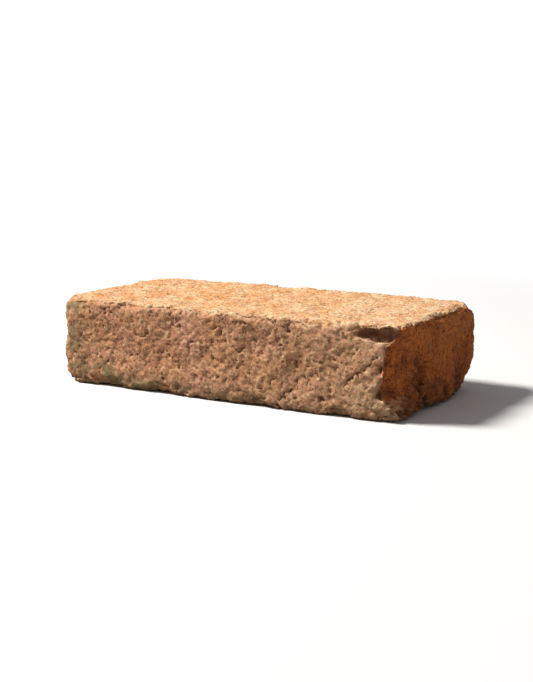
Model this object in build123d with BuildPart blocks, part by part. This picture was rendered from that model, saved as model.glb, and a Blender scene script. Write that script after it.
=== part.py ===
from build123d import *
import math
import os

# A solid hand-moulded firebrick that has been used and reclaimed, in millimetres.
# It lies on its lower bed. The origin is under its middle, +X runs along its
# length to the more battered end, -Y is the better long face and +Z is up.

# Overall size
length = 220.0
width = 107.0
height = 51.0

# How far the middle of each upright face stands out past its ends
end_bow = 1.4
side_bow = 1.1

# Worn arrises: the radius at each upright one, and round each bed
upright_arrises = {
    ("left", "front"): 6.0,
    ("left", "back"): 5.0,
    ("right", "front"): 3.5,
    ("right", "back"): 6.5,
}
upper_arris = 2.4
lower_arris = 2.0

# Broken corners: how far each is gone along the length, the width and the height.
# A corner that has broken more than once has a row for each break.
corner_breaks = [
    ("left", "front", "upper", 19.0, 9.0, 5.0),
    ("left", "front", "upper", 9.0, 15.0, 8.0),
    ("left", "front", "lower", 5.5, 12.0, 27.0),
    ("left", "front", "lower", 12.0, 10.0, 9.0),
    ("left", "back", "upper", 13.0, 19.0, 5.5),
    ("left", "back", "lower", 14.0, 11.0, 18.0),
    ("right", "front", "lower", 12.0, 9.0, 8.0),
    ("right", "back", "upper", 11.0, 31.0, 7.5),
    ("right", "back", "upper", 18.0, 13.0, 10.0),
    ("right", "back", "lower", 12.0, 29.0, 23.0),
    ("right", "back", "lower", 21.0, 15.0, 14.0),
]

# Chips out of the arrises: the two faces that meet there, the middle of the chip
# as a share of half that arris, its length, its depth, and the angle at which it
# looks out, from 0 square to the first face to 90 square to the second. The first
# two overlap, and make the tall spall at the battered end.
arris_chips = [
    ("front", "right", 0.04, 47.0, 12.0, 75.0),
    ("front", "right", -0.24, 31.0, 12.5, 62.0),
    ("front", "upper", -0.56, 27.0, 3.4, 55.0),
    ("front", "upper", 0.10, 15.0, 2.6, 40.0),
    ("front", "upper", 0.55, 23.0, 3.2, 35.0),
    ("front", "lower", -0.34, 26.0, 3.4, 40.0),
    ("front", "lower", 0.24, 15.0, 2.8, 50.0),
    ("front", "lower", 0.66, 20.0, 3.6, 35.0),
    ("right", "upper", -0.52, 17.0, 3.2, 50.0),
    ("right", "upper", 0.06, 14.0, 2.8, 35.0),
    ("right", "lower", -0.30, 24.0, 4.0, 40.0),
    ("back", "upper", 0.22, 29.0, 3.4, 50.0),
    ("back", "upper", -0.48, 17.0, 2.8, 35.0),
    ("back", "lower", -0.15, 31.0, 3.8, 45.0),
    ("back", "lower", 0.52, 19.0, 3.0, 40.0),
    ("left", "upper", 0.20, 16.0, 3.0, 45.0),
    ("left", "lower", -0.20, 20.0, 3.4, 35.0),
]

# The section of every chip: how far along it the deepest point and the shoulder
# lie, and how deep the shoulder is, as shares of its length and its depth
chip_bottom = 0.30
chip_shoulder = 0.75
chip_shoulder_depth = 0.70

# Hollows where the clay sank or dragged in the mould: the face, the middle as
# shares of half its longer and half its shorter side, how far across the hollow is
# and how deep. Two that overlap make one long hollow. The middles of the beds stay
# flat.
hollows = [
    ("upper", -0.74, -0.40, 27.0, 1.4),
    ("upper", -0.58, -0.20, 24.0, 1.2),
    ("upper", -0.50, 0.50, 28.0, 1.3),
    ("upper", -0.22, -0.52, 25.0, 1.6),
    ("upper", 0.04, 0.56, 23.0, 1.2),
    ("upper", 0.20, 0.62, 26.0, 1.3),
    ("upper", 0.42, -0.14, 29.0, 1.5),
    ("upper", 0.72, -0.52, 24.0, 1.3),
    ("front", -0.72, 0.16, 24.0, 1.3),
    ("front", -0.42, -0.16, 22.0, 1.4),
    ("front", -0.27, -0.30, 19.0, 1.1),
    ("front", 0.20, 0.30, 22.0, 1.3),
    ("front", 0.46, -0.26, 25.0, 1.5),
    ("back", -0.68, -0.10, 27.0, 1.4),
    ("back", -0.26, 0.26, 24.0, 1.3),
    ("back", 0.22, -0.20, 25.0, 1.5),
    ("back", 0.38, -0.02, 22.0, 1.2),
    ("back", 0.66, 0.16, 23.0, 1.3),
    ("right", 0.44, 0.04, 26.0, 1.6),
    ("left", -0.40, 0.10, 27.0, 1.4),
    ("left", 0.46, -0.16, 22.0, 1.3),
    ("lower", -0.66, 0.36, 29.0, 1.3),
    ("lower", -0.40, -0.46, 27.0, 1.5),
    ("lower", 0.26, 0.54, 26.0, 1.4),
    ("lower", 0.58, -0.26, 30.0, 1.5),
]

# Flake: the hollow with a lip above it, high on the better face and open to the end
flake_length = 32.0
flake_depth = 3.9
flake_from_end = 12.0
flake_below_top = 5.6

half_length = length / 2
half_width = width / 2
half_height = height / 2

# The way out of the brick through each face
outward = {
    "left": Vector(-1, 0, 0),
    "right": Vector(1, 0, 0),
    "front": Vector(0, -1, 0),
    "back": Vector(0, 1, 0),
    "lower": Vector(0, 0, -1),
    "upper": Vector(0, 0, 1),
}

# How far each face falls back from its middle to the ends of its longer side
bow = {
    "left": end_bow,
    "right": end_bow,
    "front": side_bow,
    "back": side_bow,
    "lower": 0.0,
    "upper": 0.0,
}


def place(direction):
    """The point of an unworn brick that lies in a direction from its middle."""
    return Vector(
        direction.X * half_length,
        direction.Y * half_width,
        direction.Z * half_height + half_height,
    )


def break_plane(end, side, bed, along, across, down):
    """The plane that a corner breaks along, from how far it is gone each way."""
    corner = place(outward[end] + outward[side] + outward[bed])
    look = outward[end] / along + outward[side] / across + outward[bed] / down
    return Plane(origin=corner - outward[end] * along, z_dir=look)


def arris_plane(first, second, share, angle):
    """A plane with x along an arris and y looking out of it at an angle."""
    along = outward[first].cross(outward[second])
    turn = math.radians(angle)
    look = outward[first] * math.cos(turn) + outward[second] * math.sin(turn)
    middle = place(outward[first] + outward[second] + along * share)
    return Plane(origin=middle, x_dir=along, z_dir=along.cross(look))


def ball_plane(face, long_share, short_share, rise):
    """A plane above a point of a bowed face, with x looking out of the face."""
    longer = outward["back"] if face in ("left", "right") else outward["right"]
    shorter = outward[face].cross(longer)
    middle = place(outward[face] + longer * long_share + shorter * short_share)
    surface = middle - outward[face] * bow[face] * long_share**2
    return Plane(origin=surface + outward[face] * rise, x_dir=outward[face], z_dir=longer)


with BuildPart() as brick:
    # Body
    with BuildSketch() as outline:
        with BuildLine():
            corner_x = half_length - end_bow
            corner_y = half_width - side_bow
            ThreePointArc((-corner_x, -corner_y), (0, -half_width), (corner_x, -corner_y))
            ThreePointArc((corner_x, -corner_y), (half_length, 0), (corner_x, corner_y))
            ThreePointArc((corner_x, corner_y), (0, half_width), (-corner_x, corner_y))
            ThreePointArc((-corner_x, corner_y), (-half_length, 0), (-corner_x, -corner_y))
        make_face()
        for (end, side), radius in upright_arrises.items():
            corner = place(outward[end] + outward[side])
            fillet(outline.vertices().sort_by_distance(corner)[0], radius=radius)
    extrude(amount=height)

    # Worn arrises round the beds
    fillet(brick.faces().sort_by(Axis.Z)[-1].edges(), radius=upper_arris)
    fillet(brick.faces().sort_by(Axis.Z)[0].edges(), radius=lower_arris)

    # Hollows: each is pressed in by a ball
    for face, long_share, short_share, across, deep in hollows:
        ball = (across**2 / 4 + deep**2) / (2 * deep)
        with Locations(ball_plane(face, long_share, short_share, ball - deep)):
            Sphere(ball, mode=Mode.SUBTRACT)

    # Flake: an arc on the face turned about its own chord
    flake_height = height - flake_below_top
    flake_middle = half_length - flake_from_end
    flake_start = (flake_middle - flake_length / 2, -half_width)
    flake_end = (flake_middle + flake_length / 2, -half_width)
    with BuildSketch(Plane.XY.offset(flake_height)):
        with BuildLine():
            ThreePointArc(flake_start, (flake_middle, flake_depth - half_width), flake_end)
            Line(flake_end, flake_start)
        make_face()
    revolve(axis=Axis((0, -half_width, flake_height), (1, 0, 0)), mode=Mode.SUBTRACT)

    # Chips: each has three facets
    for first, second, share, long, deep, angle in arris_chips:
        with BuildSketch(arris_plane(first, second, share, angle)):
            with BuildLine():
                Polyline(
                    (-long / 2, 0),
                    (long * (chip_bottom - 0.5), -deep),
                    (long * (chip_shoulder - 0.5), -deep * chip_shoulder_depth),
                    (long / 2, 0),
                    close=True,
                )
            make_face()
        extrude(amount=long, both=True, mode=Mode.SUBTRACT)

    # Broken corners
    for corner_break in corner_breaks:
        split(bisect_by=break_plane(*corner_break), keep=Keep.BOTTOM)

brick.part.label = "brick"
os.makedirs("parts", exist_ok=True)
export_step(brick.part, "parts/brick.step")
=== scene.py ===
import math

import bpy
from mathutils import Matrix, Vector


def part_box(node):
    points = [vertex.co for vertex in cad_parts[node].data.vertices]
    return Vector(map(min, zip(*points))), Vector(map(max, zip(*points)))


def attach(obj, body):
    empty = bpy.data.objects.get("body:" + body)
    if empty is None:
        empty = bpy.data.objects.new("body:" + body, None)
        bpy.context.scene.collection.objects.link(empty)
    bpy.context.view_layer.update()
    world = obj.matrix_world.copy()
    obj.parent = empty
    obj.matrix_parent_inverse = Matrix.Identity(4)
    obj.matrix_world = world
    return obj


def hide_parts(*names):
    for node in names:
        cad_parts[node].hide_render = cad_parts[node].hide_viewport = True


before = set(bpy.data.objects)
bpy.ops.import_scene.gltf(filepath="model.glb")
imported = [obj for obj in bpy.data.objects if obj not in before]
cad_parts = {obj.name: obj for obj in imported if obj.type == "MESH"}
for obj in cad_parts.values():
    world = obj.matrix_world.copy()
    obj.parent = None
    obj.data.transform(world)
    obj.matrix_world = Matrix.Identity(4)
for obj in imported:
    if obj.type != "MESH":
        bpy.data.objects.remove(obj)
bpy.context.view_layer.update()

mm = 0.001


# Small helpers for node trees

def put(tree, kind, inputs=None, **settings):
    # adds a node; an input is either a socket to link or a value to set
    node = tree.nodes.new(kind)
    for name, value in settings.items():
        setattr(node, name, value)
    for name, value in (inputs or {}).items():
        if isinstance(value, bpy.types.NodeSocket):
            tree.links.new(value, node.inputs[name])
        else:
            node.inputs[name].default_value = value
    return node


def calc(tree, operation, first, second, clamp=False):
    node = put(tree, "ShaderNodeMath", {0: first, 1: second}, operation=operation, use_clamp=clamp)
    return node.outputs[0]


def times(tree, first, *others):
    for other in others:
        first = calc(tree, "MULTIPLY", first, other)
    return first


def opposite(tree, share):
    return calc(tree, "SUBTRACT", 1.0, share)


def ramp(tree, value, low, high, toLow=0.0, toHigh=1.0, smooth=True):
    # low may be the larger of the two, and then the ramp runs the other way
    kind = "SMOOTHSTEP" if smooth else "LINEAR"
    inputs = {"Value": value, "From Min": low, "From Max": high, "To Min": toLow, "To Max": toHigh}
    return put(tree, "ShaderNodeMapRange", inputs, interpolation_type=kind).outputs[0]


def graded(tree, share, ends, smooth=True):
    # the first of the ends where the share is 0, the second where it is 1
    return ramp(tree, share, 0.0, 1.0, *ends, smooth=smooth)


def vector(tree, operation, first, second):
    return put(tree, "ShaderNodeVectorMath", {0: first, 1: second}, operation=operation).outputs


def shifted(tree, where, x, y=0.0, z=0.0):
    return vector(tree, "ADD", where, (x, y, z))[0]


def scaled(tree, where, factor):
    return put(tree, "ShaderNodeVectorMath", {0: where, "Scale": factor}, operation="SCALE").outputs[0]


def distance(tree, where, point=(0.0, 0.0, 0.0)):
    return vector(tree, "DISTANCE", where, point)["Value"]


def split(tree, where):
    return put(tree, "ShaderNodeSeparateXYZ", {0: where}).outputs


def noise(tree, where, size, detail=2.0, roughness=0.5):
    # size is the width of one lump, in metres
    inputs = {"Vector": where, "Scale": 1 / size, "Detail": detail, "Roughness": roughness}
    return put(tree, "ShaderNodeTexNoise", inputs, noise_dimensions="3D").outputs


def cells(tree, where, size):
    inputs = {"Vector": where, "Scale": 1 / size, "Randomness": 1.0}
    return put(tree, "ShaderNodeTexVoronoi", inputs, voronoi_dimensions="3D", feature="F1").outputs


def cloud(tree, where, look):
    # noise as a share from 0 to 1 over its span; a shift keeps one cloud from following another
    if "shift" in look:
        where = shifted(tree, where, look["shift"])
    pattern = noise(tree, where, look["size"], look["detail"], look["roughness"])
    return ramp(tree, pattern[0], *look["span"])


def wander(tree, pattern, reach):
    # a push to any side, because a noise colour lies about its middle
    middle = (0.5, 0.5, 0.5)
    return scaled(tree, vector(tree, "SUBTRACT", pattern["Color"], middle)[0], reach)


def mixed(tree, share, first, second, kind="MIX"):
    # the Mix node repeats its socket names for each type, so the colour ones go by number
    inputs = {0: share, 6: first, 7: second}
    return put(tree, "ShaderNodeMix", inputs, data_type="RGBA", blend_type=kind).outputs[2]


# The brick: the moulded body, with its relief

brickShape = {
    "voxel": 0.72 * mm,
    "triangles": 192000,
    "weld": 0.001 * mm,
    "seed": 4.7,
    "softenSteps": 2,
    "facingSteps": 12,
    "hollowUnit": 3.0 * mm,  # the depth at which the hollow that the clay reads is 1

    # layers of relief: how wide a lump is, how deep, and the span of its noise over which it sinks
    "swell": {"size": 34 * mm, "depth": 0.8 * mm, "detail": 1.0, "roughness": 0.5, "span": (0.3, 0.7)},
    "lump": {"size": 8.5 * mm, "depth": 0.55 * mm, "detail": 3.0, "roughness": 0.55, "span": (0.38, 0.72)},
    "grain": {"size": 1.7 * mm, "depth": 0.4 * mm, "detail": 2.0, "roughness": 0.6, "span": (0.25, 0.75)},
    "crumb": {"size": 3.2 * mm, "depth": 0.5 * mm, "detail": 2.0, "roughness": 0.5, "span": (0.45, 0.68)},
    "nick": {"size": 7.0 * mm, "depth": 2.1 * mm, "detail": 3.0, "roughness": 0.6, "span": (0.36, 0.68)},
    "block": {
        "size": 9.0 * mm, "depth": 1.5 * mm, "detail": 2.0, "roughness": 0.5, "span": (0.4, 0.62),
        "shift": 6.1,
    },
    "coarse": {"size": 4.2 * mm, "depth": 1.2 * mm, "detail": 3.0, "roughness": 0.65, "span": (0.35, 0.7)},
    "tear": {"size": 5.6 * mm, "depth": 0.95 * mm, "detail": 3.0, "roughness": 0.55, "span": (0.61, 0.73)},
    "pit": {
        "size": 2.5 * mm, "depth": 0.8 * mm, "detail": 2.0, "roughness": 0.5, "span": (0.59, 0.7),
        "shift": 2.3,
    },

    # the place that a texture reads is pushed about, coarsely and then finely
    "warps": [{"size": 6.5 * mm, "push": 6.0 * mm}, {"size": 2.4 * mm, "push": 2.6 * mm}],

    # worn arrises: each cell along them has lost a width of its own, and some have lost a wider bite
    "wear": {
        "width": 6.0 * mm, "depth": 2.3 * mm, "slope": 0.62, "cell": 7.5 * mm, "power": 1.6,
        "biteCell": 16.5 * mm, "bitePower": 3.0, "biteWidth": 1.25, "biteShift": 0.9,
    },

    # an edge is proud where it stands out from its own average; it is nicked and sways there
    "edge": {"averageSteps": 30, "proud": (0.06 * mm, 0.7 * mm), "sway": 4.5 * mm, "swayShift": 4.4},

    # clay counts as broken well inside the unworn faces, and along the foot of the battered end
    "broken": {"inside": (1.6 * mm, 3.0 * mm), "footZ": (20 * mm, 7 * mm), "footX": (100 * mm, 106 * mm)},

    # rounder holes left by burnt-out specks, one to a cell in the given share of the cells
    "pores": [
        {
            "cell": 15.0 * mm, "share": 0.40, "shift": 0.31,
            "radius": (1.2 * mm, 2.6 * mm), "depth": 2.0 * mm,
        },
        {
            "cell": 7.0 * mm, "share": 0.42, "shift": 1.73,
            "radius": (0.7 * mm, 1.5 * mm), "depth": 1.3 * mm,
        },
    ],
    "poreBowl": {"floor": 0.65, "strength": (0.45, 1.0)},

    # cracks in the better long face, each as points: (place along the length, height), in mm from the
    # middle and from the lower bed; gone and whole are how far behind the face a crack is so
    "cracks": {
        "lines": [[(96, 34), (92, 30), (89, 28), (86, 25), (82, 22), (79, 20), (76, 16)]],
        "halfWidth": 0.672 * mm, "depth": 0.9 * mm, "gone": 6 * mm, "whole": 4 * mm,
    },

    # small knocks at the battered end: the middle of each, its radius and its depth, in mm; the floor
    # is the share of a radius that lies at the full depth
    "knocks": [
        ((96.5, -52, 15), 4.4, 3.0),
        ((97.5, -52.5, 27), 3.4, 2.2),
        ((106, -42, 4), 4.6, 3.0),
        ((109, -25, 15), 3.8, 2.0),
        ((109, -20, 6), 5.0, 2.6),
        ((108, 8, 5), 4.4, 2.2),
    ],
    "knockFloor": 0.35,

    # the flake high on the better face goes deeper, and is rougher, than its solid
    "flake": {
        "middle": (97 * mm, -53 * mm, 45 * mm), "half": (16 * mm, 7 * mm, 3.6 * mm),
        "rim": (1.05, 0.75), "depth": 1.5 * mm,
    },

    # the dark dust and painted shade that a hole holds, where a pore holds 1
    "dustAndShade": {"torn": 0.45, "crack": 0.7, "knock": 0.5, "flake": 0.34},
}

reliefLayers = ("swell", "lump", "grain", "crumb", "nick", "block", "coarse", "tear", "pit")
reliefSizes = {name + "Depth": brickShape[name]["depth"] for name in reliefLayers}
reliefSizes.update({"wearWidth": brickShape["wear"]["width"], "wearDepth": brickShape["wear"]["depth"]})


def deeper(tree, depth, share, amount):
    return calc(tree, "ADD", depth, times(tree, share, amount))


def blurred(tree, value, steps):
    # each step averages a point with its neighbours on the mesh
    inputs = {"Value": value, "Iterations": steps}
    return put(tree, "GeometryNodeBlurAttribute", inputs, data_type="FLOAT_VECTOR").outputs[0]


def arrisDistance(tree, spot, low, high):
    # how far a point is from the nearest arris of the unworn brick, and from its nearest face
    away = []
    for value, start, end in zip(split(tree, spot), low, high):
        fromMiddle = calc(tree, "ABSOLUTE", calc(tree, "SUBTRACT", value, (start + end) / 2), 0.0)
        away.append(calc(tree, "SUBTRACT", (end - start) / 2, fromMiddle))
    nearer = calc(tree, "MINIMUM", away[0], away[1])
    farther = calc(tree, "MAXIMUM", away[0], away[1])
    arris = calc(tree, "MAXIMUM", nearer, calc(tree, "MINIMUM", farther, away[2]))
    return arris, calc(tree, "MINIMUM", nearer, away[2])


def raggedPlace(tree, place):
    # textures that read this have no clean curve for an outline
    ragged = place
    for warp in brickShape["warps"]:
        push = wander(tree, noise(tree, place, warp["size"]), warp["push"])
        ragged = vector(tree, "ADD", ragged, push)[0]
    return ragged


def bevelDepth(tree, at, given):
    look = brickShape["wear"]
    lost = split(tree, cells(tree, at["ragged"], look["cell"])["Color"])[0]
    lost = times(tree, calc(tree, "POWER", lost, look["power"]), given["wearWidth"])
    bites = cells(tree, shifted(tree, at["ragged"], look["biteShift"]), look["biteCell"])
    bitten = calc(tree, "POWER", split(tree, bites["Color"])[1], look["bitePower"])
    bitten = times(tree, bitten, times(tree, given["wearWidth"], look["biteWidth"]))
    bevel = calc(tree, "SUBTRACT", calc(tree, "MAXIMUM", lost, bitten), at["arris"])
    bevel = calc(tree, "MAXIMUM", bevel, 0.0)
    return calc(tree, "MINIMUM", times(tree, bevel, look["slope"]), given["wearDepth"])


def proudShare(tree, spot, normal):
    average = blurred(tree, spot, brickShape["edge"]["averageSteps"])
    lift = vector(tree, "SUBTRACT", spot, average)[0]
    return ramp(tree, vector(tree, "DOT_PRODUCT", lift, normal)["Value"], *brickShape["edge"]["proud"])


def edgeSway(tree, at):
    nick, look = brickShape["nick"], brickShape["edge"]
    where = shifted(tree, at["place"], look["swayShift"])
    pattern = noise(tree, where, nick["size"], nick["detail"], nick["roughness"])
    return wander(tree, pattern, times(tree, at["edge"], look["sway"]))


def brokenShare(tree, at):
    look = brickShape["broken"]
    foot = times(tree, ramp(tree, at["z"], *look["footZ"]), ramp(tree, at["x"], *look["footX"]))
    return calc(tree, "MAXIMUM", ramp(tree, at["inside"], *look["inside"]), foot)


def poreShare(tree, where, family):
    # a bowl of random width and depth
    shift, bowlLook = family["shift"], brickShape["poreBowl"]
    pattern = cells(tree, shifted(tree, where, shift, -shift, shift), family["cell"])
    chance, width, strength = split(tree, pattern["Color"])
    there = calc(tree, "LESS_THAN", chance, family["share"])
    radius = graded(tree, width, family["radius"], smooth=False)
    away = times(tree, pattern["Distance"], family["cell"])
    bowl = calc(tree, "SUBTRACT", 1.0, calc(tree, "DIVIDE", away, radius), clamp=True)
    bowl = ramp(tree, bowl, 0.0, bowlLook["floor"])
    return times(tree, bowl, graded(tree, strength, bowlLook["strength"], smooth=False), there)


def crackShare(tree, crackLines, at, front):
    # the lines lie on the flat front of the brick's box, so the distance is taken there
    look = brickShape["cracks"]
    lines = put(tree, "GeometryNodeObjectInfo", {"Object": crackLines}, transform_space="ORIGINAL")
    wire = put(tree, "GeometryNodeCurveToMesh", {"Curve": lines.outputs["Geometry"]}).outputs[0]
    along, _, up = split(tree, at["raggedSpot"])
    flat = put(tree, "ShaderNodeCombineXYZ", {0: along, 1: front, 2: up}).outputs[0]
    inputs = {0: wire, "Sample Position": flat}
    near = put(tree, "GeometryNodeProximity", inputs, target_element="EDGES")
    groove = ramp(tree, near.outputs["Distance"], look["halfWidth"], 0.0)
    return times(tree, groove, ramp(tree, at["y"], front + look["gone"], front + look["whole"]))


def knockShare(tree, where, middle, radius):
    away = distance(tree, where, tuple(value * mm for value in middle))
    return ramp(tree, away, radius * mm, radius * brickShape["knockFloor"] * mm)


def flakeShare(tree, where):
    # 1 within the flake, 0 away from it
    look = brickShape["flake"]
    away = vector(tree, "SUBTRACT", where, look["middle"])[0]
    away = vector(tree, "DIVIDE", away, look["half"])[0]
    return ramp(tree, distance(tree, away), *look["rim"])


def surfaceDepth(tree, at, given):
    # broad swell, lumps, sand and crumbs
    depth = times(tree, cloud(tree, at["place"], brickShape["swell"]), given["swellDepth"])
    for name, where in (("lump", "place"), ("grain", "place"), ("crumb", "ragged")):
        depth = deeper(tree, depth, cloud(tree, at[where], brickShape[name]), given[name + "Depth"])

    # worn arrises, and nicks in every proud edge, also round the breaks
    nicks = times(tree, cloud(tree, at["ragged"], brickShape["nick"]), given["nickDepth"], at["edge"])
    depth = calc(tree, "ADD", depth, calc(tree, "MAXIMUM", bevelDepth(tree, at, given), nicks))

    # broken clay is blocky, and coarser than the moulded faces
    broken = brokenShare(tree, at)
    for name in ("block", "coarse"):
        sunk = times(tree, cloud(tree, at["ragged"], brickShape[name]), given[name + "Depth"])
        depth = deeper(tree, depth, sunk, broken)
    return depth


def withHoles(tree, at, given, depth):
    # torn pits of no clear outline, then the rounder holes; gives the depth, and the dust and painted shade
    # they hold
    tears, pits = (cloud(tree, at["ragged"], brickShape[name]) for name in ("tear", "pit"))
    depth = deeper(tree, depth, tears, given["tearDepth"])
    depth = deeper(tree, depth, pits, given["pitDepth"])
    dustAndShade = times(tree, calc(tree, "MAXIMUM", tears, pits), brickShape["dustAndShade"]["torn"])
    for family in brickShape["pores"]:
        share = poreShare(tree, at["ragged"], family)
        depth = deeper(tree, depth, share, family["depth"])
        dustAndShade = calc(tree, "MAXIMUM", dustAndShade, share)
    return depth, dustAndShade


def withMarks(tree, at, crackLines, front, depth, dustAndShade):
    # cracks, knocks and the flake
    held = brickShape["dustAndShade"]
    marks = [(crackShare(tree, crackLines, at, front), brickShape["cracks"]["depth"], held["crack"])]
    for middle, radius, deep in brickShape["knocks"]:
        marks.append((knockShare(tree, at["raggedSpot"], middle, radius), deep * mm, held["knock"]))
    marks.append((flakeShare(tree, at["raggedSpot"]), brickShape["flake"]["depth"], held["flake"]))
    for share, deep, dustAndShadeShare in marks:
        depth = deeper(tree, depth, share, deep)
        dustAndShade = calc(tree, "MAXIMUM", dustAndShade, times(tree, share, dustAndShadeShare))
    return depth, dustAndShade


def reliefGroup():
    tree = bpy.data.node_groups.new("brickRelief", "GeometryNodeTree")
    face = tree.interface
    face.new_socket("Geometry", in_out="INPUT", socket_type="NodeSocketGeometry")
    for name in reliefSizes:
        face.new_socket(name, in_out="INPUT", socket_type="NodeSocketFloat")
    face.new_socket("clay", in_out="INPUT", socket_type="NodeSocketMaterial")
    face.new_socket("Geometry", in_out="OUTPUT", socket_type="NodeSocketGeometry")
    return tree


def reliefTree(crackLines, low, high):
    tree = reliefGroup()
    given = put(tree, "NodeGroupInput").outputs
    spot = put(tree, "GeometryNodeInputPosition").outputs[0]
    normal = put(tree, "GeometryNodeInputNormal").outputs[0]
    place = shifted(tree, spot, brickShape["seed"])
    ragged = raggedPlace(tree, place)
    at = {"place": place, "ragged": ragged, "raggedSpot": shifted(tree, ragged, -brickShape["seed"])}
    at["x"], at["y"], at["z"] = split(tree, spot)
    at["arris"], at["inside"] = arrisDistance(tree, spot, low, high)
    at["edge"] = proudShare(tree, spot, normal)

    depth = surfaceDepth(tree, at, given)
    depth, dustAndShade = withHoles(tree, at, given, depth)
    depth, dustAndShade = withMarks(tree, at, crackLines, low[1], depth, dustAndShade)

    # the material reads these; pore holds the dust and painted shade of holes, cracks, knocks and the flake
    facing = blurred(tree, normal, brickShape["facingSteps"])
    kept = {
        "pore": ("FLOAT", dustAndShade),
        "edge": ("FLOAT", at["edge"]),
        "hollow": ("FLOAT", calc(tree, "DIVIDE", depth, brickShape["hollowUnit"])),
        "facing": ("FLOAT_VECTOR", facing),
    }
    softened = {"Geometry": given["Geometry"], "Position": blurred(tree, spot, brickShape["softenSteps"])}
    shape = put(tree, "GeometryNodeSetPosition", softened).outputs[0]
    for name, (kind, value) in kept.items():
        inputs = {"Geometry": shape, "Name": name, "Value": value}
        store = put(tree, "GeometryNodeStoreNamedAttribute", inputs, data_type=kind, domain="POINT")
        shape = store.outputs[0]

    # the relief goes inwards along a smoothed normal, so that no arris folds over itself
    inward = scaled(tree, facing, times(tree, depth, -1.0))
    offset = vector(tree, "ADD", inward, edgeSway(tree, at))[0]
    shape = put(tree, "GeometryNodeSetPosition", {"Geometry": shape, "Offset": offset}).outputs[0]
    shape = put(tree, "GeometryNodeRealizeInstances", {"Geometry": shape}).outputs[0]
    dressed = put(tree, "GeometryNodeSetMaterial", {"Geometry": shape, "Material": given["clay"]})
    put(tree, "NodeGroupOutput", {"Geometry": dressed.outputs[0]})
    return tree


def crackCurves(low):
    curve = bpy.data.curves.new("crackLines", "CURVE")
    curve.dimensions = "3D"
    for crack in brickShape["cracks"]["lines"]:
        spline = curve.splines.new("POLY")
        spline.points.add(len(crack) - 1)
        for point, (along, up) in zip(spline.points, crack):
            point.co = (along * mm, low[1], low[2] + up * mm, 1.0)
    lines = bpy.data.objects.new("crackLines", curve)
    bpy.context.scene.collection.objects.link(lines)
    return lines


def evaluated(piece):
    bpy.context.view_layer.update()
    graph = bpy.context.evaluated_depsgraph_get()
    return piece.evaluated_get(graph), graph


def makeBrick(clay):
    low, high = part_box("brick")
    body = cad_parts["brick"].data.copy()
    body.materials.clear()
    brick = bpy.data.objects.new("clayBody", body)
    bpy.context.scene.collection.objects.link(brick)

    joined = brick.modifiers.new("joined", "WELD")
    joined.merge_threshold = brickShape["weld"]
    even = brick.modifiers.new("even", "REMESH")
    even.mode = "VOXEL"
    even.voxel_size = brickShape["voxel"]
    lines = crackCurves(low)
    relief = brick.modifiers.new("relief", "NODES")
    relief.node_group = reliefTree(lines, low, high)
    values = {**reliefSizes, "clay": clay}
    for socket in relief.node_group.interface.items_tree:
        if socket.name in values:
            relief[socket.identifier] = values[socket.name]
    lighter = brick.modifiers.new("lighter", "DECIMATE")

    # the remeshed body is all quads, of two triangles each, and is thinned to the number wanted
    lighter.show_viewport = False
    full = len(evaluated(brick)[0].data.polygons) * 2
    lighter.show_viewport = True
    lighter.ratio = min(1.0, brickShape["triangles"] / full)
    done, graph = evaluated(brick)
    mesh = bpy.data.meshes.new_from_object(done, preserve_all_data_layers=True, depsgraph=graph)
    brick.modifiers.clear()
    brick.data = mesh
    bpy.data.objects.remove(lines)
    mesh.shade_smooth()
    thinned = sum(len(polygon.vertices) - 2 for polygon in mesh.polygons)
    print("brick:", full, "triangles before thinning,", thinned, "after")
    return brick


# Fired clay

def tone(red, green, blue):
    # an on-screen colour, 0 to 255, as the linear value that a shader wants
    shares = [value / 255 for value in (red, green, blue)]
    return tuple(s / 12.92 if s < 0.04045 else ((s + 0.055) / 1.055) ** 2.4 for s in shares) + (1.0,)


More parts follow.
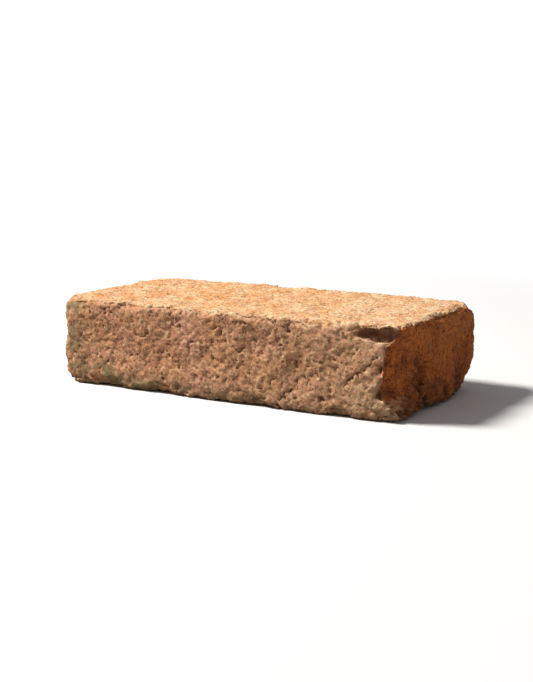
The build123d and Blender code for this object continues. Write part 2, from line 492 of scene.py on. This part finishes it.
clayLook = {
    "tones": {
        "buff": tone(232, 190, 140),
        "orange": tone(212, 142, 86),
        "pink": tone(218, 162, 132),
        "brown": tone(176, 122, 88),
        "tan": tone(222, 164, 119),
        "sandy": tone(242, 200, 154),
        "umber": tone(128, 80, 52),
        # on the end, red and rust hold painted warm bounced light and shade besides the clay's own colour
        "red": tone(228, 126, 58),
        "rust": tone(160, 82, 44),
        "ember": tone(236, 146, 74),
        "pore": tone(84, 48, 30),
        "cream": tone(242, 218, 180),
        "film": tone(124, 116, 82),
        "lime": tone(226, 196, 158),
    },

    # patches of tone, from broad to fine
    "clouds": {
        "broad": {"size": 48 * mm, "detail": 3.0, "roughness": 0.5, "span": (0.38, 0.62)},
        "patch": {"size": 16 * mm, "detail": 4.0, "roughness": 0.6, "span": (0.38, 0.64), "shift": 3.1},
        "blotch": {"size": 9 * mm, "detail": 3.0, "roughness": 0.6, "span": (0.4, 0.6), "shift": 17.3},
        "haze": {"size": 9 * mm, "detail": 4.0, "roughness": 0.62, "span": (0.4, 0.56), "shift": 9.1},
        "mottle": {"size": 5 * mm, "detail": 5.0, "roughness": 0.68, "span": (0.38, 0.64), "shift": 5.3},
        "crust": {"size": 3.6 * mm, "detail": 5.0, "roughness": 0.68, "span": (0.44, 0.58), "shift": 11.9},
        "fleck": {"size": 3.4 * mm, "detail": 4.0, "roughness": 0.62, "span": (0.54, 0.64), "shift": 13.7},
        "burnt": {"size": 2.9 * mm, "detail": 4.0, "roughness": 0.62, "span": (0.55, 0.67), "shift": 15.1},
    },
    "sand": {"size": 1.3 * mm, "detail": 4.0, "roughness": 0.75, "shift": 7.7, "span": (0.3, 0.7)},
    "grit": {"size": 1.0 * mm, "paleAbove": 0.93, "darkBelow": 0.1},

    # where a tone comes in: it is nothing at the first place and whole at the second, along the
    # length (X), across (Y) or up (Z)
    "bedZ": (41 * mm, 46 * mm),
    "bedPinkX": (-20 * mm, -110 * mm),
    "bedCreamX": (0.0, 90 * mm),
    "sideSandyX": (-30 * mm, 90 * mm),
    "sideFootZ": (12 * mm, 2 * mm),
    "spillX": (62 * mm, 106 * mm),
    "endX": (90 * mm, 98 * mm),
    "endEmberZ": (10 * mm, 45 * mm),
    "endDarkFootZ": (26 * mm, 6 * mm),
    "flakeShadeX": (100 * mm, 94 * mm),
    "filmX": (-78 * mm, -106 * mm),
    "filmFootX": (50 * mm, -50 * mm),
    "filmFootZ": (15 * mm, 1 * mm),
    "filmSpot": (-81 * mm, -53 * mm, 9 * mm),
    "filmSpotReach": (15 * mm, 7 * mm),
    "limeX": (70 * mm, 86 * mm),
    "limeY": (-48 * mm, -50 * mm),
    "limeZ": (26 * mm, 12 * mm),

    # the same for the way that a place faces, from -1 to 1 along each axis
    "bedTurn": (0.35, 0.8),
    "bedPastEndTurn": (0.6, 0.25),
    "endTurn": (0.35, 0.75),
    "endRagged": (-0.14, 0.14),
    "backTurn": (0.2, 0.7),
    "frontTurn": (-0.4, -0.7),
    "otherEndTurn": (-0.4, -0.8),
    # rubbed edges are wear and a painted highlight, following which way an edge faces
    "rubAndHighlightUpTurn": (-0.2, 0.5),
    "rubAndHighlightPastEndTurn": (0.1, 0.5),

    # the same for the darker patches at the end's foot, hollows and pores
    "endDarkPatch": (0.2, 0.8),
    "hollowDepth": (0.4, 1.1),
    "poreDepth": (0.08, 0.6),

    # how strongly a tone shows, from nothing at 0 to whole at 1; two numbers are for the two ends of
    # what it follows
    "bedOrange": 0.8, "bedPink": 0.6, "bedCream": 0.55, "bedBlotch": 0.42, "bedMottle": 0.5,
    "sideBrown": 0.45, "sideSandy": (0.0, 0.28), "sideFoot": (0.0, 0.3), "spill": (0.4, 0.85),
    "endEmber": (0.2, 0.8), "endDarkFoot": 0.42, "endDarkPatchShare": (0.3, 1.0),
    "darker": 0.4, "sandyFleck": (0.5, 0.1), "burntFleck": (0.46, 0.56),
    "paleGrit": (0.3, 0.08), "darkGrit": 0.45, "sandShade": (0.1, 0.9), "sandShare": 0.7,
    # rubbed paleness is wear and a painted highlight
    "rubAndHighlight": (0.1, 0.45), "rubAndHighlightPastEnd": (1.0, 0.15),
    # hollows and pores are darkened by dust and by painted shade
    "hollowDustAndShade": (0.3, 0.5), "poreDustAndShade": (0.0, 0.88),
    # the flake's rust is painted warm bounced light, and its dark is painted shade
    "flakeWarmBounce": 0.75, "flakeShade": (0.0, 0.5),
    "film": 0.78, "filmOtherEnd": (1.0, 0.45), "filmBack": (1.0, 0.4), "filmFoot": (0.35, 1.0),
    "lime": 0.6,

    "roughness": (0.82, 0.98), "specular": 0.25,
    "bumpSand": 0.5, "bumpGrit": 0.4, "bumpStrength": 0.55, "bumpDepth": 0.5 * mm,
}


def tinted(tree, colour, name, *shares):
    # a colour with a share of one of the clay's tones in it
    return mixed(tree, times(tree, *shares), colour, clayLook["tones"][name])


def between(tree, first, share, second):
    return mixed(tree, share, clayLook["tones"][first], clayLook["tones"][second])


def over(tree, value, span, ends=(0.0, 1.0)):
    # a share that follows a value over the span of that name
    return ramp(tree, value, *clayLook[span], *ends)


def bedColour(tree, at):
    colour = between(tree, "buff", times(tree, at["patch"], clayLook["bedOrange"]), "orange")
    colour = tinted(tree, colour, "pink", over(tree, at["x"], "bedPinkX"), at["broad"], clayLook["bedPink"])
    colour = tinted(tree, colour, "cream", over(tree, at["x"], "bedCreamX"), clayLook["bedCream"])
    blotches = between(tree, "orange", at["blotch"], "cream")
    colour = mixed(tree, clayLook["bedBlotch"], colour, blotches)
    return tinted(tree, colour, "orange", at["mottle"], clayLook["bedMottle"])


def endColourWithPaintedBounce(tree, at):
    # red to rust, partly the end's redder clay and partly painted warm bounced light and shade, with ember
    # above and darker umber towards the foot
    colour = between(tree, "red", at["patch"], "rust")
    rise = over(tree, at["z"], "endEmberZ", clayLook["endEmber"])
    colour = tinted(tree, colour, "ember", at["broad"], rise)
    # the end grows darker in patches towards its foot
    darkPatches = over(tree, at["patch"], "endDarkPatch", clayLook["endDarkPatchShare"])
    return tinted(tree, colour, "umber", over(tree, at["z"], "endDarkFootZ"), darkPatches, clayLook["endDarkFoot"])


def sideColour(tree, at, end):
    # tan to pink, sandier towards the battered end; on the back the end's red spills round the arris
    colour = between(tree, "tan", at["patch"], "pink")
    colour = tinted(tree, colour, "brown", at["broad"], clayLook["sideBrown"])
    colour = tinted(tree, colour, "sandy", over(tree, at["x"], "sideSandyX", clayLook["sideSandy"]))
    colour = tinted(tree, colour, "umber", over(tree, at["z"], "sideFootZ", clayLook["sideFoot"]))
    spill = times(tree, over(tree, at["x"], "spillX"), over(tree, at["turnY"], "backTurn"))
    spill = times(tree, spill, graded(tree, at["patch"], clayLook["spill"]))
    return mixed(tree, spill, colour, end)


def speckled(tree, at, colour):
    # sandy flecks and burnt ones, a few millimetres wide
    sandy = graded(tree, at["end"], clayLook["sandyFleck"])
    colour = tinted(tree, colour, "sandy", at["fleck"], sandy)
    burnt = graded(tree, at["bed"], clayLook["burntFleck"])
    colour = tinted(tree, colour, "umber", at["burnt"], burnt)

    # grains of sand, pale and dark
    kind = split(tree, at["grit"]["Color"])[0]
    pale = calc(tree, "GREATER_THAN", kind, clayLook["grit"]["paleAbove"])
    dark = calc(tree, "LESS_THAN", kind, clayLook["grit"]["darkBelow"])
    colour = tinted(tree, colour, "cream", pale, graded(tree, at["end"], clayLook["paleGrit"]))
    colour = tinted(tree, colour, "pore", dark, clayLook["darkGrit"])
    shade = ramp(tree, at["sand"], *clayLook["sand"]["span"], *clayLook["sandShade"], smooth=False)
    return mixed(tree, clayLook["sandShare"], colour, shade, "OVERLAY")


def dustedAndShaded(tree, at, colour):
    # proud edges are rubbed paler, with a painted highlight: paler where they face up, and not where they
    # turn to the shaded end; hollows hold dark dust and painted shade
    rubbedAndLit = times(tree, at["edge"], over(tree, at["turnZ"], "rubAndHighlightUpTurn", clayLook["rubAndHighlight"]))
    rubbedAndLit = times(tree, rubbedAndLit, over(tree, at["turnX"], "rubAndHighlightPastEndTurn", clayLook["rubAndHighlightPastEnd"]))
    colour = tinted(tree, colour, "cream", rubbedAndLit, opposite(tree, at["mottle"]))
    # hollows darken with depth: dust and painted shade
    dustAndShade = graded(tree, at["end"], clayLook["hollowDustAndShade"])
    colour = tinted(tree, colour, "pore", over(tree, at["hollow"], "hollowDepth"), dustAndShade)

    # the flake is tinted rust as painted warm bounced light and darkened away from the end as painted
    # shade, and pores are the darkest
    flake = flakeShare(tree, at["spot"])
    colour = tinted(tree, colour, "rust", flake, clayLook["flakeWarmBounce"])
    innerShade = over(tree, at["x"], "flakeShadeX", clayLook["flakeShade"])
    colour = tinted(tree, colour, "pore", flake, innerShade)
    # pores darken with the dust and painted shade that the relief kept
    return tinted(tree, colour, "pore", over(tree, at["pore"], "poreDepth", clayLook["poreDustAndShade"]))


def weathered(tree, at, colour):
    # grey-green film at the left and along the foot
    left = over(tree, at["turnX"], "otherEndTurn", clayLook["filmOtherEnd"])
    left = times(tree, over(tree, at["x"], "filmX"), left)
    left = times(tree, left, over(tree, at["turnY"], "backTurn", clayLook["filmBack"]))
    foot = over(tree, at["x"], "filmFootX", clayLook["filmFoot"])
    foot = times(tree, over(tree, at["z"], "filmFootZ"), foot)
    spot = over(tree, distance(tree, at["spot"], clayLook["filmSpot"]), "filmSpotReach")
    film = calc(tree, "MAXIMUM", calc(tree, "MAXIMUM", left, foot), spot)
    film = times(tree, film, at["haze"], opposite(tree, at["bed"]))
    colour = tinted(tree, colour, "film", film, clayLook["film"])

    # lime at the lower right of the better face
    lime = times(tree, over(tree, at["x"], "limeX"), over(tree, at["z"], "limeZ"), at["crust"])
    face = times(tree, over(tree, at["turnY"], "frontTurn"), over(tree, at["y"], "limeY"))
    return tinted(tree, colour, "lime", lime, face, clayLook["lime"])


def clayGuides(tree):
    # what the tones follow: places, the way a place faces, what the relief has kept, and clouds
    spot = put(tree, "ShaderNodeTexCoord").outputs["Object"]
    facing = put(tree, "ShaderNodeAttribute", attribute_name="facing").outputs["Vector"]
    at = {"spot": spot}
    at["x"], at["y"], at["z"] = split(tree, spot)
    at["turnX"], at["turnY"], at["turnZ"] = split(tree, facing)
    for name in ("pore", "edge", "hollow"):
        at[name] = put(tree, "ShaderNodeAttribute", attribute_name=name).outputs["Fac"]
    for name, look in clayLook["clouds"].items():
        at[name] = cloud(tree, spot, look)
    sand = clayLook["sand"]
    sandSpot = shifted(tree, spot, sand["shift"])
    at["sand"] = noise(tree, sandSpot, sand["size"], sand["detail"], sand["roughness"])[0]
    at["grit"] = cells(tree, spot, clayLook["grit"]["size"])

    # the upper bed, and the end, whose red is partly its own clay and partly painted warm bounced light and
    # shade, with a ragged border
    bed = times(tree, over(tree, at["turnZ"], "bedTurn"), over(tree, at["z"], "bedZ"))
    at["bed"] = times(tree, bed, over(tree, at["turnX"], "bedPastEndTurn"))
    rag = graded(tree, at["mottle"], clayLook["endRagged"], smooth=False)
    torn = calc(tree, "ADD", at["turnX"], rag)
    at["end"] = times(tree, over(tree, torn, "endTurn"), over(tree, at["x"], "endX"))
    return at


def makeClay():
    clay = bpy.data.materials.new("firedClay")
    clay.use_nodes = True
    tree = clay.node_tree
    tree.nodes.clear()
    at = clayGuides(tree)
    end = endColourWithPaintedBounce(tree, at)
    colour = mixed(tree, at["end"], sideColour(tree, at, end), end)
    darker = between(tree, "brown", at["end"], "rust")
    colour = mixed(tree, times(tree, at["mottle"], clayLook["darker"]), colour, darker)
    colour = mixed(tree, at["bed"], colour, bedColour(tree, at))
    for finish in (speckled, dustedAndShaded, weathered):
        colour = finish(tree, at, colour)

    # fine relief under the mesh's own
    height = times(tree, at["sand"], clayLook["bumpSand"])
    height = deeper(tree, height, at["grit"]["Distance"], clayLook["bumpGrit"])
    bump = {"Height": height, "Strength": clayLook["bumpStrength"], "Distance": clayLook["bumpDepth"]}
    sandSpan = clayLook["sand"]["span"]
    inputs = {
        "Base Color": colour,
        "Roughness": ramp(tree, at["sand"], *sandSpan, *clayLook["roughness"], smooth=False),
        "Normal": put(tree, "ShaderNodeBump", bump).outputs[0],
        "Specular IOR Level": clayLook["specular"],
    }
    shader = put(tree, "ShaderNodeBsdfPrincipled", inputs)
    put(tree, "ShaderNodeOutputMaterial", {"Surface": shader.outputs[0]})
    print("clay ready")
    return clay


# Floor, lamp and camera

white = (1.0, 1.0, 1.0, 1.0)

floorLook = {
    "half": 6.0, "clearTo": 0.24, "whiteFrom": 0.6,
    "pale": (0.9, 0.9, 0.9, 1.0), "paper": (0.3, 0.28, 0.26, 1.0),
}


def seenShare(tree):
    # 1 where the camera sees a place, straight or in a reflection, 0 where it only bounces light
    path = put(tree, "ShaderNodeLightPath").outputs
    bent = calc(tree, "ADD", path["Is Glossy Ray"], path["Is Transmission Ray"])
    return calc(tree, "ADD", path["Is Camera Ray"], bent, clamp=True)


def makeFloor():
    half = floorLook["half"]
    corners = [(-half, -half, 0), (half, -half, 0), (half, half, 0), (-half, half, 0)]
    mesh = bpy.data.meshes.new("floor")
    mesh.from_pydata(corners, [], [(0, 1, 2, 3)])
    floor = bpy.data.objects.new("floor", mesh)
    bpy.context.scene.collection.objects.link(floor)
    paper = bpy.data.materials.new("paleFloor")
    paper.use_nodes = True
    tree = paper.node_tree
    tree.nodes.clear()
    away = distance(tree, put(tree, "ShaderNodeTexCoord").outputs["Object"])
    seen = seenShare(tree)
    far = times(tree, ramp(tree, away, floorLook["clearTo"], floorLook["whiteFrom"]), seen)
    colour = mixed(tree, seen, floorLook["paper"], floorLook["pale"])  # bounces less than it shows
    matt = put(tree, "ShaderNodeBsdfDiffuse", {"Color": colour})
    bright = put(tree, "ShaderNodeEmission", {"Color": white, "Strength": 1.0})
    blend = put(tree, "ShaderNodeMixShader", {0: far, 1: matt.outputs[0], 2: bright.outputs[0]})
    put(tree, "ShaderNodeOutputMaterial", {"Surface": blend.outputs[0]})
    mesh.materials.append(paper)


# the sky is white to the camera, and lights the brick at the strength of the fill
lightLook = {
    "place": (-1.15, -0.55, 1.55), "size": 0.5, "power": 56.5,
    "colour": (1.0, 0.97, 0.93), "fill": 0.2, "sky": 1.0,
}


def makeLight():
    world = bpy.data.worlds.new("studio")
    bpy.context.scene.world = world
    world.use_nodes = True
    tree = world.node_tree
    tree.nodes.clear()
    strength = graded(tree, seenShare(tree), (lightLook["fill"], lightLook["sky"]), smooth=False)
    sky = put(tree, "ShaderNodeBackground", {"Color": white, "Strength": strength})
    put(tree, "ShaderNodeOutputWorld", {"Surface": sky.outputs[0]})

    lamp = bpy.data.lights.new("key", "AREA")
    lamp.shape = "DISK"
    lamp.size = lightLook["size"]
    lamp.energy = lightLook["power"]
    lamp.color = lightLook["colour"]
    key = bpy.data.objects.new("key", lamp)
    key.location = lightLook["place"]
    key.rotation_euler = (-Vector(lightLook["place"])).to_track_quat("-Z", "Y").to_euler()
    bpy.context.scene.collection.objects.link(key)


# the angle, distance and lens of the photograph, with the lens in pixels of its longer side
cameraLook = {
    "azimuth": 30.5, "elevation": 10.2, "distance": 0.743,
    "focalPixels": 1292.0, "longSidePixels": 682.0, "sensor": 36.0,
}


def makeCamera():
    lens = bpy.data.cameras.new("camera")
    lens.sensor_width = cameraLook["sensor"]
    lens.lens = cameraLook["focalPixels"] / cameraLook["longSidePixels"] * cameraLook["sensor"]
    camera = bpy.data.objects.new("camera", lens)
    low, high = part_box("brick")
    target = (low + high) / 2
    turn, rise = math.radians(cameraLook["azimuth"]), math.radians(cameraLook["elevation"])
    away = Vector((math.sin(turn) * math.cos(rise), -math.cos(turn) * math.cos(rise), math.sin(rise)))
    camera.location = target + away * cameraLook["distance"]
    camera.rotation_euler = (-away).to_track_quat("-Z", "Y").to_euler()
    bpy.context.scene.collection.objects.link(camera)
    bpy.context.scene.camera = camera


makeCamera()
makeLight()
makeFloor()
print("stage ready")

clay = makeClay()
brick = makeBrick(clay)
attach(brick, "root")
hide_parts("brick")

bpy.context.scene.view_settings.view_transform = "Standard"
bpy.context.view_layer.update()
